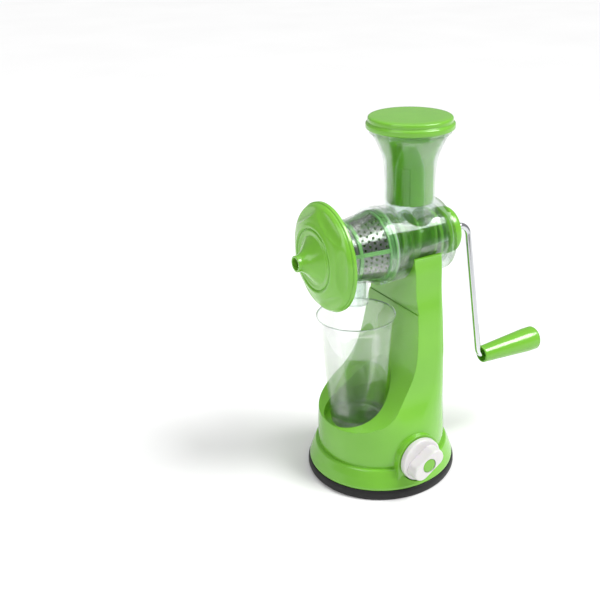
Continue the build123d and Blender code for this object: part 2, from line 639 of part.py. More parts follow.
def crank_grip():
    """Tapered green grip that turns on the rod."""
    grip = revolve(outline(
        [(GRIP_FRONT_X, 0), (GRIP_FRONT_X, GRIP_SMALL_RADIUS), (GRIP_END_X - 6, GRIP_LARGE_RADIUS),
         (GRIP_END_X - 3, GRIP_LARGE_RADIUS), (GRIP_END_X - 3, 0)]), axis=Axis.X)
    bore = revolve(outline(
        [(GRIP_FRONT_X - 1, 0), (GRIP_FRONT_X - 1, 6.2), (102.5, 6.2), (104, ROD_RADIUS + RUNNING),
         (146, ROD_RADIUS + RUNNING), (146, 8.2), (GRIP_END_X, 8.2), (GRIP_END_X, 0)]), axis=Axis.X)
    return on_grip_axis(grip - bore)


def grip_end_cap():
    """Domed plug that closes the grip's outer end."""
    cap = revolve(outline(
        [(GRIP_END_X - 9, 0), (GRIP_END_X - 9, 8.2), (GRIP_END_X - 3, 8.2),
         (GRIP_END_X - 3, GRIP_LARGE_RADIUS),
         (GRIP_END_X - 1.2, 10.2), (GRIP_END_X, 6.0), (GRIP_END_X, 0)]), axis=Axis.X)
    return on_grip_axis(cap)


def grip_retainer():
    """Spring washer pressed on the rod's end, which keeps the grip on."""
    ring = revolve(outline(
        [(147, ROD_RADIUS), (147, 7.2), (148.2, 7.2), (149.4, 5), (149.4, ROD_RADIUS)]), axis=Axis.X)
    return on_grip_axis(ring)


# ---- Pusher and glass ----
def stem_solid(inset, bottom, top):
    """The stem's outline drawn in by inset and turned to a solid."""
    points = [(radius - inset, z) for radius, z in STEM_CURVE]
    first = points[0]
    last = points[-1]
    edges = Spline(*points, tangents=[(0, 1), (0.05, 1)]) + Polyline(
        last, (last[0], top), (0, top), (0, bottom), (first[0], bottom), first)
    return revolve(make_face(Plane.XZ * edges), axis=Axis.Z)


def pusher_stem():
    """Hollow green stem with four flutes and a closed foot."""
    stem = stem_solid(0, STEM_BOTTOM_Z, NECK_RIM_Z + 0.2)
    half_width = FLUTE_WIDTH / 2
    flute = block(
        (STEM_RADIUS - 1.2, STEM_RADIUS + 2), (-half_width, half_width), (STEM_BOTTOM_Z - 1, FLUTE_TOP_Z))
    for piece in around(flute, 4, (0, 0, 0), (0, 0, 1), start=45):
        stem -= piece
    stem -= stem_solid(STEM_WALL, STEM_BOTTOM_Z + 2.4, NECK_RIM_Z + 1)
    return Pos(NECK_X, 0, 0) * stem


def pusher_cap():
    """Round cap that the hand presses on, with a grooved side and a flat top."""
    low = NECK_RIM_Z + 0.2
    rim = PUSHER_RIM_RADIUS
    return turned_z(
        [(0, low), (rim - 0.8, low), (rim, low + 1.0), (rim, low + 4.6), (rim - 1.0, low + 5.6),
         (rim - 1.9, low + 6.0), (rim - 1.7, low + 7.0), (rim - 1.9, low + 9.2),
         (rim - 2.8, PUSHER_TOP_Z - 0.4), (31, PUSHER_TOP_Z), (0, PUSHER_TOP_Z)], x=NECK_X)


def juice_glass():
    """Clear tumbler with a flared lip and a thick foot."""
    wall = 1.7
    outer = make_face(Plane.XZ * (
        Polyline((31.2, 147), (GLASS_BASE_RADIUS, GLASS_BASE_Z), (0, GLASS_BASE_Z), (0, GLASS_RIM_Z),
                 (GLASS_RIM_RADIUS, GLASS_RIM_Z))
        + Spline((GLASS_RIM_RADIUS, GLASS_RIM_Z), (32.2, 152), (31.2, 147),
        tangents=[(-0.6, -1), (-0.07, -1)])))
    inner = make_face(Plane.XZ * (
        Polyline((31.2 - wall, 147), (GLASS_BASE_RADIUS - wall + 0.4, GLASS_BASE_Z + 5),
        (0, GLASS_BASE_Z + 5),
                 (0, GLASS_RIM_Z + 1), (GLASS_RIM_RADIUS - wall + 0.7, GLASS_RIM_Z + 1))
        + Spline((GLASS_RIM_RADIUS - wall + 0.7, GLASS_RIM_Z + 1), (32.2 - wall, 152), (31.2 - wall, 147))))
    return Pos(GLASS_X, 0, 0) * (revolve(outer, axis=Axis.Z) - revolve(inner, axis=Axis.Z))


PARTS = [
    stand_body, suction_pad, base_plate, base_screws, pad_stud, cam_shaft, cam_clip, vacuum_knob,
    knob_screw,
    knob_inset, bowl, bowl_screw, bowl_washer, strainer_cover, cover_seal, strainer_sheet, strainer_frame,
    front_seal, front_cap, auger,
    drive_shaft, shaft_bush, rear_seal, crank_hub, hub_insert, crank_rod, crank_grip, grip_end_cap,
    grip_retainer, pusher_stem, pusher_cap, juice_glass,
]

os.makedirs("parts", exist_ok=True)
for make_part in PARTS:
    export_step(make_part(), f"parts/{make_part.__name__}.step")
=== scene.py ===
import functools
import json
import logging
import math
from dataclasses import dataclass
from enum import Enum

import bmesh
import bpy
import numpy as np
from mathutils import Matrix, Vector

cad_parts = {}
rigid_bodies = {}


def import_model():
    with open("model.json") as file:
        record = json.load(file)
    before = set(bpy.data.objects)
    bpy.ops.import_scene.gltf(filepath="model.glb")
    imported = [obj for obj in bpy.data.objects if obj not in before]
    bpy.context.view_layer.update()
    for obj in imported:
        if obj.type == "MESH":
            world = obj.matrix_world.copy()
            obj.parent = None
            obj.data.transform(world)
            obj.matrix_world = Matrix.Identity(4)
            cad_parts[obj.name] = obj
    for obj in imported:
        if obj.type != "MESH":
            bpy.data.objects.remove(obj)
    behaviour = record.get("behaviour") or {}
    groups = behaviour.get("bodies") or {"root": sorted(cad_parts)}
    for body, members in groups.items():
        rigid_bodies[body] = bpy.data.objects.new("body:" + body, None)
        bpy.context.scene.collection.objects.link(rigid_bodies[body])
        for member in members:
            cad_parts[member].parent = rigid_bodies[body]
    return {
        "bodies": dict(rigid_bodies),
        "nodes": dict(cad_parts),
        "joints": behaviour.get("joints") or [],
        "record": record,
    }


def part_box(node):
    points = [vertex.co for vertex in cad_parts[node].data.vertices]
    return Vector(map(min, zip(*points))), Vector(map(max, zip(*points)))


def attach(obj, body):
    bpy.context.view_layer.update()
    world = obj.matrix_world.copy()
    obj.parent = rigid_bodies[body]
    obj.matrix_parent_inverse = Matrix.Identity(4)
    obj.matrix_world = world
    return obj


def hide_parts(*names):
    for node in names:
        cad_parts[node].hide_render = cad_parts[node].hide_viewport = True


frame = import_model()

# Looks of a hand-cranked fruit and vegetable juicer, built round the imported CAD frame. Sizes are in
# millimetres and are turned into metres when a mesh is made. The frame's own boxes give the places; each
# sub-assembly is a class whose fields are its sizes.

LOG = logging.getLogger("juicer")
MM = 0.001
Point = tuple[float, float, float]
Pair = tuple[float, float]
Colour = tuple[float, float, float]


# ---------------------------------------------------------------- names from the frame

class Body(Enum):
    """The moving bodies of the frame."""

    STAND = "stand"
    KNOB = "knob"
    PLUNGER = "plunger"
    CAP = "cap"
    CRANK = "crank"
    GRIP = "grip"
    PUSHER = "pusher"
    GLASS = "glass"


class Slot(Enum):
    """The material slots of the record."""

    GREEN = "green_plastic"
    PALE_GREEN = "pale_green_plastic"
    CLEAR = "clear_plastic"
    GLASS = "clear_glass"
    WHITE = "white_plastic"
    STEEL = "steel"
    CHROME = "chrome"
    ZINC = "zinc"
    RUBBER = "rubber"
    SEAL = "seal_rubber"


class Line(Enum):
    """A line to turn a profile about: its direction, where angle 0 points and where 90 degrees does."""

    X = ((1, 0, 0), (0, 0, 1), (0, -1, 0))
    Y = ((0, -1, 0), (1, 0, 0), (0, 0, 1))
    Z = ((0, 0, 1), (1, 0, 0), (0, 1, 0))


# ---------------------------------------------------------------- shader arithmetic

class Value:
    """A socket that takes part in arithmetic, adding a Math node for each operation."""

    def __init__(self, graph: "Graph", socket: bpy.types.NodeSocket) -> None:
        """Wrap an output socket of a graph."""
        self.graph = graph
        self.socket = socket

    def _math(self, operation: str, *values: "Value | float") -> "Value":
        """Add one Math node.

        Args:
            operation: the node's operation.
            values: its inputs in order.

        Returns:
            The node's result.
        """
        node = self.graph.node("ShaderNodeMath", {"operation": operation}, dict(enumerate(values)))
        return Value(self.graph, node.outputs[0])

    def __add__(self, other: "Value | float") -> "Value":
        """Sum."""
        return self._math("ADD", self, other)

    def __sub__(self, other: "Value | float") -> "Value":
        """Difference."""
        return self._math("SUBTRACT", self, other)

    def __mul__(self, other: "Value | float") -> "Value":
        """Product."""
        return self._math("MULTIPLY", self, other)


class Graph:
    """The node tree of one material, with one Principled shader."""

    def __init__(self, name: str, constants: dict[str, object]) -> None:
        """Make the material.

        Args:
            name: the material's name.
            constants: values set on the Principled shader's own sockets.
        """
        self.material = bpy.data.materials.new(name)
        self.material.use_nodes = True
        self.tree = self.material.node_tree
        self.tree.nodes.clear()
        self.shader = self.node("ShaderNodeBsdfPrincipled", {}, constants)
        self.node("ShaderNodeOutputMaterial", {}, {"Surface": self.shader.outputs[0]})

    def node(self, kind: str, settings: dict[str, object], inputs: dict[object, object]) -> bpy.types.Node:
        """Add a node.

        Args:
            kind: the node's type name.
            settings: attributes set first; "stops" fills a colour ramp with (position, colour) pairs.
            inputs: values, sockets or Values for its sockets, by name or number.

        Returns:
            The new node.
        """
        node = self.tree.nodes.new(kind)
        for name, setting in settings.items():
            if name == "stops":
                self._fill_ramp(node.color_ramp, setting)
            else:
                setattr(node, name, setting)
        for key, value in inputs.items():
            source = value.socket if isinstance(value, Value) else value
            if isinstance(source, bpy.types.NodeSocket):
                self.tree.links.new(source, node.inputs[key])
            else:
                node.inputs[key].default_value = source
        return node

    @staticmethod
    def _fill_ramp(ramp: bpy.types.ColorRamp, stops: list[tuple[float, Colour]]) -> None:
        """Give a ramp its stops."""
        while len(ramp.elements) < len(stops):
            ramp.elements.new(0.5)
        for element, (position, colour) in zip(ramp.elements, stops):
            element.position = position
            element.color = (*colour, 1.0)

    def place(self, scale: Point = (1, 1, 1)) -> bpy.types.NodeSocket:
        """Object coordinates, stretched by scale."""
        coordinates = self.node("ShaderNodeTexCoord", {}, {})
        inputs = {"Vector": coordinates.outputs["Object"], "Scale": scale}
        return self.node("ShaderNodeMapping", {}, inputs).outputs[0]

    def height(self) -> Value:
        """Height above the worktop, in mm."""
        split = self.node("ShaderNodeSeparateXYZ", {}, {"Vector": self.place()})
        return Value(self, split.outputs["Z"]) * (1 / MM)

    def noise(self, per_metre: float, detail: float = 2.0, stretch: Point = (1, 1, 1)) -> Value:
        """Smooth noise between 0 and 1.

        Args:
            per_metre: how many clouds fit in a metre.
            detail: octaves of finer noise on top.
            stretch: how much denser it is along each axis.

        Returns:
            The noise's value.
        """
        inputs = {"Vector": self.place(stretch), "Scale": per_metre, "Detail": detail}
        return Value(self, self.node("ShaderNodeTexNoise", {}, inputs).outputs[0])

    def ramp(self, value: Value, stops: list[tuple[float, Colour]]) -> bpy.types.NodeSocket:
        """A value turned into a colour."""
        return self.node("ShaderNodeValToRGB", {"stops": stops}, {"Fac": value}).outputs[0]

    def feed(self, **sockets: "Value | bpy.types.NodeSocket") -> None:
        """Link values to the shader's sockets, with _ for a space in a socket's name."""
        for name, value in sockets.items():
            source = value.socket if isinstance(value, Value) else value
            self.tree.links.new(source, self.shader.inputs[name.replace("_", " ")])

    def bump(self, height: Value, strength: float, depth: float, edge: float = 0.0) -> None:
        """Feed the normal with a relief, on edges that a bevel of the given radius in mm softens."""
        inputs = {"Height": height, "Strength": strength, "Distance": depth * MM}
        if edge:
            bevel = self.node("ShaderNodeBevel", {"samples": 6}, {"Radius": edge * MM})
            inputs["Normal"] = bevel.outputs[0]
        self.feed(Normal=self.node("ShaderNodeBump", {}, inputs).outputs[0])


# ---------------------------------------------------------------- finishes

@dataclass(frozen=True)
class Finish:
    """A finish of one material slot: two tints that drift over the surface and a gloss that varies."""

    name: str
    slot: Slot
    tint: Colour
    second_tint: Colour
    gloss: Pair                       # lowest and highest roughness
    edge: float = 0.0                 # radius of the softened edges, mm

    def constants(self) -> dict[str, object]:
        """Values of the shader's sockets that are the same all over."""
        return {"IOR": 1.49}

    def relief(self, graph: Graph) -> None:
        """Add the surface's relief: the faint waves of a moulded surface and its fine grain."""
        waves = graph.noise(45.0, 1.0)
        grain = graph.noise(1400.0, 3.0)
        graph.bump(waves * 0.9 + grain * 0.1, 0.35, 0.5, self.edge)

    def colour(self, graph: Graph) -> bpy.types.NodeSocket:
        """The two tints in soft clouds."""
        return graph.ramp(graph.noise(24.0, 3.0), [(0.3, self.tint), (0.7, self.second_tint)])

    def build(self) -> bpy.types.Material:
        """Make the material."""
        graph = Graph(self.name, self.constants())
        graph.feed(Base_Color=self.colour(graph))
        low, high = self.gloss
        smears = graph.noise(160.0, 4.0)
        graph.feed(Roughness=smears * (high - low) + low)
        self.relief(graph)
        return graph.material


@dataclass(frozen=True)
class GlossPlastic(Finish):
    """Injection-moulded plastic with a polished skin."""

    coat: float = 0.35
    glow: float = 0.12

    def constants(self) -> dict[str, object]:
        """A clear skin over a body that lets a little light in."""
        return {
            "IOR": 1.5, "Coat Weight": self.coat, "Coat Roughness": 0.06, "Subsurface Weight": self.glow,
            "Subsurface Radius": (0.6, 1.0, 0.3), "Subsurface Scale": 0.003,
        }


@dataclass(frozen=True)
class ClearBody(Finish):
    """Clear plastic or glass: light passes, and a thin share of the surface shows its tint."""

    index: float = 1.49
    cover: float = 0.5

    def constants(self) -> dict[str, object]:
        """Full transmission through a partly see-through surface."""
        return {"IOR": self.index, "Transmission Weight": 1.0, "Alpha": self.cover}

    def relief(self, graph: Graph) -> None:
        """Long shallow flow waves left by the mould."""
        graph.bump(graph.noise(30.0, 1.0), 0.12, 0.25)


@dataclass(frozen=True)
class TumblerGlass(ClearBody):
    """Glass whose thick foot and rim show more than its wall: grey painted shade there stands in for the
    dark refractions of thick glass.
    """

    foot_top: float = 56.0            # heights above the worktop, mm
    rim_bottom: float = 153.6
    rim_top: float = 154.6
    # painted shade: the foot and rim are made more opaque so that their grey shows
    thick: float = 0.95               # how much of the foot and rim shows

    def by_height(self, graph: Graph, foot: Colour, wall: Colour, rim: Colour) -> bpy.types.NodeSocket:
        """One colour in the foot, one in the wall and one at the rim."""
        low, high = self.foot_top - 4, self.rim_top + 1
        stops = [
            (self.foot_top - 2, foot), (self.foot_top + 6, wall),
            (self.rim_bottom, wall), (self.rim_top, rim)]
        share = (graph.height() - low) * (1 / (high - low))
        return graph.ramp(share, [((z - low) / (high - low), colour) for z, colour in stops])

    def colour(self, graph: Graph) -> bpy.types.NodeSocket:
        """Painted shade: grey at the foot and rim, where thick glass looks darker."""
        return self.by_height(graph, self.second_tint, self.tint, self.second_tint)

    def relief(self, graph: Graph) -> None:
        """Flow waves, and a cover that rises in the foot and at the rim so that the painted shade there
        shows.
        """
        super().relief(graph)
        thick, thin = (self.thick,) * 3, (self.cover,) * 3
        graph.feed(Alpha=self.by_height(graph, thick, thin, thick))


@dataclass(frozen=True)
class Metal(Finish):
    """Bare or plated metal with fine lines along its length."""

    grain: Point = (1.0, 1.0, 1.0)    # how much finer the lines are along each axis
    depth: float = 0.02

    def constants(self) -> dict[str, object]:
        """Fully metallic."""
        return {"Metallic": 1.0}

    def relief(self, graph: Graph) -> None:
        """Brushed lines."""
        graph.bump(graph.noise(900.0, 4.0, self.grain), 0.3, self.depth, self.edge)


@dataclass(frozen=True)
class Rubber(Finish):
    """Matt rubber with a pebbled skin."""

    def constants(self) -> dict[str, object]:
        """A dull surface with a faint sheen."""
        return {"IOR": 1.45, "Sheen Weight": 0.03, "Sheen Roughness": 0.5}

    def relief(self, graph: Graph) -> None:
        """Fine pebbles."""
        graph.bump(graph.noise(1100.0, 3.0), 0.4, 0.12, self.edge)


def srgb(red: int, green: int, blue: int) -> Colour:
    """A colour given as 0 to 255 on a screen, in the linear values that shaders take."""
    levels = [channel / 255 for channel in (red, green, blue)]
    return tuple(v / 12.92 if v <= 0.04045 else ((v + 0.055) / 1.055) ** 2.4 for v in levels)


GREEN = GlossPlastic(
    "green_gloss_plastic", Slot.GREEN, srgb(110, 178, 45), srgb(116, 184, 50), (0.18, 0.28), 1.0)
PALE = GlossPlastic(
    "pale_green_plastic", Slot.PALE_GREEN, srgb(140, 205, 118), srgb(154, 214, 132), (0.25, 0.35), 0.3)
WHITE = GlossPlastic(
    "white_plastic", Slot.WHITE, srgb(214, 212, 211), srgb(206, 203, 204), (0.25, 0.4), 0.4)
CLEAR = ClearBody(
    "clear_plastic", Slot.CLEAR, srgb(182, 216, 197), srgb(192, 222, 204), (0.0, 0.03), cover=0.4)
# The tumbler's second tint is the painted shade of its foot and rim.
TUMBLER = TumblerGlass(
    "clear_glass", Slot.GLASS, srgb(240, 247, 244), srgb(168, 182, 178), (0.0, 0.01), index=1.5,
    cover=0.26)
STEEL = Metal(
    "strainer_steel", Slot.STEEL, srgb(176, 171, 167), srgb(152, 148, 146), (0.16, 0.28), grain=(6, 1, 1))
SHAFT_STEEL = Metal(
    "ground_steel", Slot.STEEL, srgb(190, 190, 192), srgb(170, 170, 174), (0.25, 0.4), 0.2)
CHROME = Metal(
    "chrome_plate", Slot.CHROME, srgb(222, 224, 226), srgb(206, 208, 212), (0.05, 0.12))
ZINC = Metal(
    "zinc_plate", Slot.ZINC, srgb(188, 190, 186), srgb(160, 164, 166), (0.3, 0.45), 0.2)
BLACK_RUBBER = Rubber(
    "black_rubber", Slot.RUBBER, srgb(7, 7, 8), srgb(12, 12, 14), (0.45, 0.65), 0.4)
SEAL_RUBBER = Rubber(
    "seal_rubber", Slot.SEAL, srgb(210, 214, 208), srgb(190, 196, 190), (0.4, 0.6), 0.2)


@functools.cache
def material_of(finish: Finish) -> bpy.types.Material:
    """The one material of a finish."""
    return finish.build()


# ---------------------------------------------------------------- surfaces

def rounded(points: list[tuple[float, float, float]], steps: int = 7, closed: bool = True) -> np.ndarray:
    """A profile whose corners are curves.

    Corner P becomes the curve (1-t)^2 S + 2t(1-t) P + t^2 E, where S and E lie on its two sides at the
    corner's cut, which is held under half of the shorter side.

    Args:
        points: (along, radius, cut) of each corner.
        steps: samples of each curve.
        closed: whether the last corner joins the first.

    Returns:
        The samples, as (along, radius) rows.
    """
    table = np.asarray(points, float)
    corners = table[:, :2]
    cuts = table[:, 2]
    before = np.roll(corners, 1, axis=0) - corners
    after = np.roll(corners, -1, axis=0) - corners
    if not closed:
        cuts = np.where(np.arange(len(cuts)) % (len(cuts) - 1) == 0, 0.0, cuts)
    length_before = np.linalg.norm(before, axis=1)
    length_after = np.linalg.norm(after, axis=1)
    cuts = np.minimum(cuts, 0.499 * np.minimum(length_before, length_after))
    start = corners + before * (cuts / length_before)[:, None]
    end = corners + after * (cuts / length_after)[:, None]
    t = np.linspace(0, 1, steps)[None, :, None]
    curve = (1 - t) ** 2 * start[:, None] + 2 * t * (1 - t) * corners[:, None] + t ** 2 * end[:, None]
    return curve.reshape(-1, 2)


def turned(along: np.ndarray, radius: np.ndarray, angle: np.ndarray, line: Line,
           centre: Point) -> np.ndarray:
    """Points round a line: centre + along * direction + radius * (cos angle * first + sin angle * second).

    Args:
        along: distance along the line.
        radius: distance from the line.
        angle: turn about the line, in radians; the three arrays share or broadcast to one shape.
        line: which way the line points.
        centre: a point of the line.

    Returns:
        The points, with a last axis of three.
    """
    direction, first, second = (np.array(vector, float) for vector in line.value)
    along, radius, angle = np.broadcast_arrays(along, radius, angle)
    side = np.cos(angle)[..., None] * first + np.sin(angle)[..., None] * second
    return np.array(centre, float) + along[..., None] * direction + radius[..., None] * side


def full_turn(count: int) -> np.ndarray:
    """Angles of a closed ring, as one row."""
    return np.linspace(0, 2 * math.pi, count, endpoint=False)[None, :]


def smooth_step(value: np.ndarray, low: float, high: float) -> np.ndarray:
    """0 below low, 1 above high, and 3t^2 - 2t^3 between."""
    t = np.clip((value - low) / (high - low), 0, 1)
    return t * t * (3 - 2 * t)


@dataclass
class Shell:
    """A surface on a grid of points, which may close on itself along rows, columns or both."""

    points: np.ndarray
    wrap_rows: bool = True
    wrap_columns: bool = True

    def quads(self) -> np.ndarray:
        """Corner numbers of the four-sided faces between neighbouring points."""
        rows, columns = self.points.shape[:2]
        row = np.arange(rows if self.wrap_rows else rows - 1)[:, None]
        column = np.arange(columns if self.wrap_columns else columns - 1)[None, :]
        next_row = (row + 1) % rows * columns
        next_column = (column + 1) % columns
        corners = [
            row * columns + column, next_row + column, next_row + next_column, row * columns + next_column]
        return np.stack(corners, axis=-1).reshape(-1, 4)


def lathe(profile: np.ndarray, line: Line, centre: Point, closed: bool = True, count: int = 144) -> Shell:
    """A profile of (along, radius) rows turned all round a line."""
    return Shell(turned(profile[:, :1], profile[:, 1:], full_turn(count), line, centre), wrap_rows=closed)


def tube(path: np.ndarray, radius: float, count: int = 40) -> Shell:
    """A round bar along a path that lies in one plane.

    Ring point = path + radius * (cos a * side + sin a * normal), where normal is the plane's and side is
    the path's direction turned a quarter in the plane. Each end runs on to a ring of no radius.

    Args:
        path: (n, 3) points along the middle.
        radius: of the bar.
        count: points round it.

    Returns:
        The bar, closed at both ends.
    """
    direction = np.gradient(path, axis=0)
    direction /= np.linalg.norm(direction, axis=1)[:, None]
    normal = np.cross(direction[0], direction[len(path) // 2])
    normal /= np.linalg.norm(normal)
    side = np.cross(normal, direction)
    radii = np.concatenate([[0.0], np.full(len(path), radius), [0.0]])[:, None, None]
    path = np.concatenate([path[:1], path, path[-1:]])
    side = np.concatenate([side[:1], side, side[-1:]])
    angle = full_turn(count)[..., None]
    rings = np.cos(angle) * side[:, None] + np.sin(angle) * normal
    return Shell(path[:, None] + radii * rings, wrap_rows=False)


def make_piece(name: str, shells: list[Shell], body: Body, finish: Finish, nodes: list[str],
               crease: float = 40.0) -> bpy.types.Object:
    """Turn shells into one finished piece that stands for CAD nodes.

    Args:
        name: the piece's name.
        shells: its surfaces, in mm.
        body: what it moves with.
        finish: its finish.
        nodes: the CAD nodes that it stands for.
        crease: the angle in degrees above which an edge stays sharp.

    Returns:
        The piece.
    """
    starts = np.cumsum([0] + [shell.points.size // 3 for shell in shells])
    points = np.concatenate([shell.points.reshape(-1, 3) for shell in shells]) * MM
    quads = np.concatenate([shell.quads() + start for shell, start in zip(shells, starts)])
    mesh = bpy.data.meshes.new(name)
    mesh.from_pydata(points, [], quads.tolist())
    merged = bmesh.new()
    merged.from_mesh(mesh)
    bmesh.ops.remove_doubles(merged, verts=merged.verts, dist=0.003 * MM)
    bmesh.ops.recalc_face_normals(merged, faces=merged.faces)
    if merged.calc_volume(signed=True) < 0:
        bmesh.ops.reverse_faces(merged, faces=merged.faces)
    merged.to_mesh(mesh)
    merged.free()
    mesh.shade_smooth()
    mesh.set_sharp_from_angle(angle=math.radians(crease))
    piece = bpy.data.objects.new(name, mesh)
    bpy.context.scene.collection.objects.link(piece)
    mesh.materials.append(material_of(finish))
    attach(piece, body.value)
    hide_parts(*nodes)
    LOG.info("%s: %d faces, rides on %s", name, len(mesh.polygons), body.value)
    return piece


def dress(frame: dict, finish: Finish, *nodes: str) -> None:
    """Give CAD nodes a finish.

    Args:
        finish: the finish.
        nodes: the nodes' names.
    """
    for name in nodes:
        node = frame["nodes"][name]
        node.data.materials.clear()
        node.data.materials.append(material_of(finish))
        LOG.info("%s: dressed in %s", name, finish.name)


def low_high(node: str) -> tuple[np.ndarray, np.ndarray]:
    """Lowest and highest corner of a CAD node, in mm."""
    low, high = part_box(node)
    return np.array(low) / MM, np.array(high) / MM


def middle(node: str) -> np.ndarray:
    """The centre of a CAD node's box, in mm."""
    low, high = low_high(node)
    return (low + high) / 2


# ---------------------------------------------------------------- sub-assemblies

@dataclass
class Base:
    """Stand with its rubber pad, plate, screws and suction mechanism."""

    frame: dict
    pad_radius: float = 67.5
    pad_height: float = 8.9
    lip: tuple[float, float, float] = (56.5, 60.5, 13.0)   # inner radius, outer radius, top
    skin: float = 3.0

    def pad(self) -> None:
        """The rubber ring and disc, turned from one profile with a thin line round its side."""
        inner, outer, top = self.lip
        height = self.pad_height
        profile = rounded([
            (0, 0, 0), (0, self.pad_radius - 1.3, 1.0), (2.6, self.pad_radius, 1.2),
            (height - 2.3, self.pad_radius - 0.2, 1.0), (height, self.pad_radius - 1.1, 0.5),
            (height, outer, 0.2), (top, outer, 0.3), (top, inner, 0.3), (self.skin, inner, 0.6),
            (self.skin, 0, 0)], closed=False)
        make_piece("suction_pad", [lathe(profile, Line.Z, (0, 0, 0), closed=False, count=192)],
                   Body.STAND, BLACK_RUBBER, ["suction_pad"])

    def build(self) -> None:
        """Make the pad and dress the rest."""
        self.pad()
        dress(self.frame, GREEN, "stand_body")
        dress(self.frame, WHITE, "base_plate")
        dress(self.frame, ZINC, "base_screws", "cam_clip")
        dress(self.frame, SHAFT_STEEL, "cam_shaft", "pad_stud")


@dataclass
class Knob:
    """White vacuum knob: a disc with a raised bar across it and a green disc in its middle."""

    frame: dict
    disc_radius: float = 19.6
    disc_thickness: float = 5.4
    bar_length: float = 34.0
    bar_width: float = 17.0
    inset_radius: float = 6.5
    well_depth: float = 3.2
    tilt: float = 32.0                # the bar's tilt from horizontal, degrees

    def __post_init__(self) -> None:
        """Find the knob's axis and its front and back along it."""
        low, high = low_high("vacuum_knob")
        self.centre = (middle("vacuum_knob")[0], 0.0, middle("vacuum_knob")[2])
        self.front = -low[1]
        self.back = -high[1]

    def disc(self) -> Shell:
        """The disc, with a rounded front edge and a slightly hollow rim."""
        front = self.back + self.disc_thickness
        profile = rounded([
            (self.back, 0, 0), (self.back, self.disc_radius - 0.6, 0.4),
            (self.back + 0.6, self.disc_radius, 0.4), (front - 0.4, self.disc_radius - 0.2, 1.6),
            (front, self.disc_radius - 2.4, 0.8), (front - 0.4, 0, 0)], closed=False)
        return lathe(profile, Line.Y, self.centre, closed=False)

    def bar(self) -> Shell:
        """The bar: a stadium drawn in as it rises, over a rounded shoulder, with a round well.

        Point at angle a: the end circle's centre, moved to the end that a faces, plus radius *
        (cos a, sin a), where height and radius follow the shoulder's profile. The well is a plain circle.
        """
        end_radius = self.bar_width / 2
        reach = self.bar_length / 2 - end_radius
        foot = self.back + self.disc_thickness - 0.8
        well = self.inset_radius + 0.15
        shoulder = rounded([
            (foot, 0, 0), (foot, end_radius, 0), (self.front - 1.5, end_radius - 0.5, 1.2),
            (self.front, end_radius - 1.2, 0.7), (self.front, well, 0)], closed=False)
        angle = full_turn(160)
        radius = shoulder[:, 1:]
        share = np.where(radius > well + 0.05, 1.0, 0.0)
        shift = reach * share * np.clip(np.cos(angle) * 6, -1, 1)
        flat = np.stack([shift + radius * np.cos(angle), radius * np.sin(angle)], axis=-1)
        turn = math.radians(self.tilt)
        x = flat[..., 0] * math.cos(turn) - flat[..., 1] * math.sin(turn)
        z = flat[..., 0] * math.sin(turn) + flat[..., 1] * math.cos(turn)
        height = np.broadcast_to(shoulder[:, :1], x.shape)
        points = np.stack([x + self.centre[0], -height, z + self.centre[2]], axis=-1)
        floor_height = np.full((2, 1), self.front - self.well_depth)
        floor = turned(floor_height, np.array([[well], [0.0]]), angle + turn, Line.Y, self.centre)
        return Shell(np.concatenate([points, floor]), wrap_rows=False)

    def inset(self) -> None:
        """The green disc, slightly domed."""
        front = self.front - 0.2
        profile = rounded([
            (front - 2.4, 0, 0), (front - 2.4, self.inset_radius, 0.2),
            (front - 0.5, self.inset_radius, 0.6), (front, self.inset_radius - 1.6, 1.2), (front, 0, 0)],
            closed=False)
        make_piece("knob_inset", [lathe(profile, Line.Y, self.centre, closed=False, count=72)],
                   Body.KNOB, GREEN, ["knob_inset"])

    def build(self) -> None:
        """Make the knob and its inset."""
        make_piece("vacuum_knob", [self.disc(), self.bar()], Body.KNOB, WHITE, ["vacuum_knob"])
        self.inset()
        dress(self.frame, ZINC, "knob_screw")


@dataclass
class Bowl:
    """Clear bowl and strainer cover, their seals and the foot's screw."""

    frame: dict

    def build(self) -> None:
        """Dress the clear bodies and what holds them."""
        dress(self.frame, CLEAR, "bowl", "strainer_cover")
        dress(self.frame, SEAL_RUBBER, "cover_seal", "front_seal", "rear_seal")
        dress(self.frame, ZINC, "bowl_screw", "bowl_washer")
        dress(self.frame, WHITE, "shaft_bush")


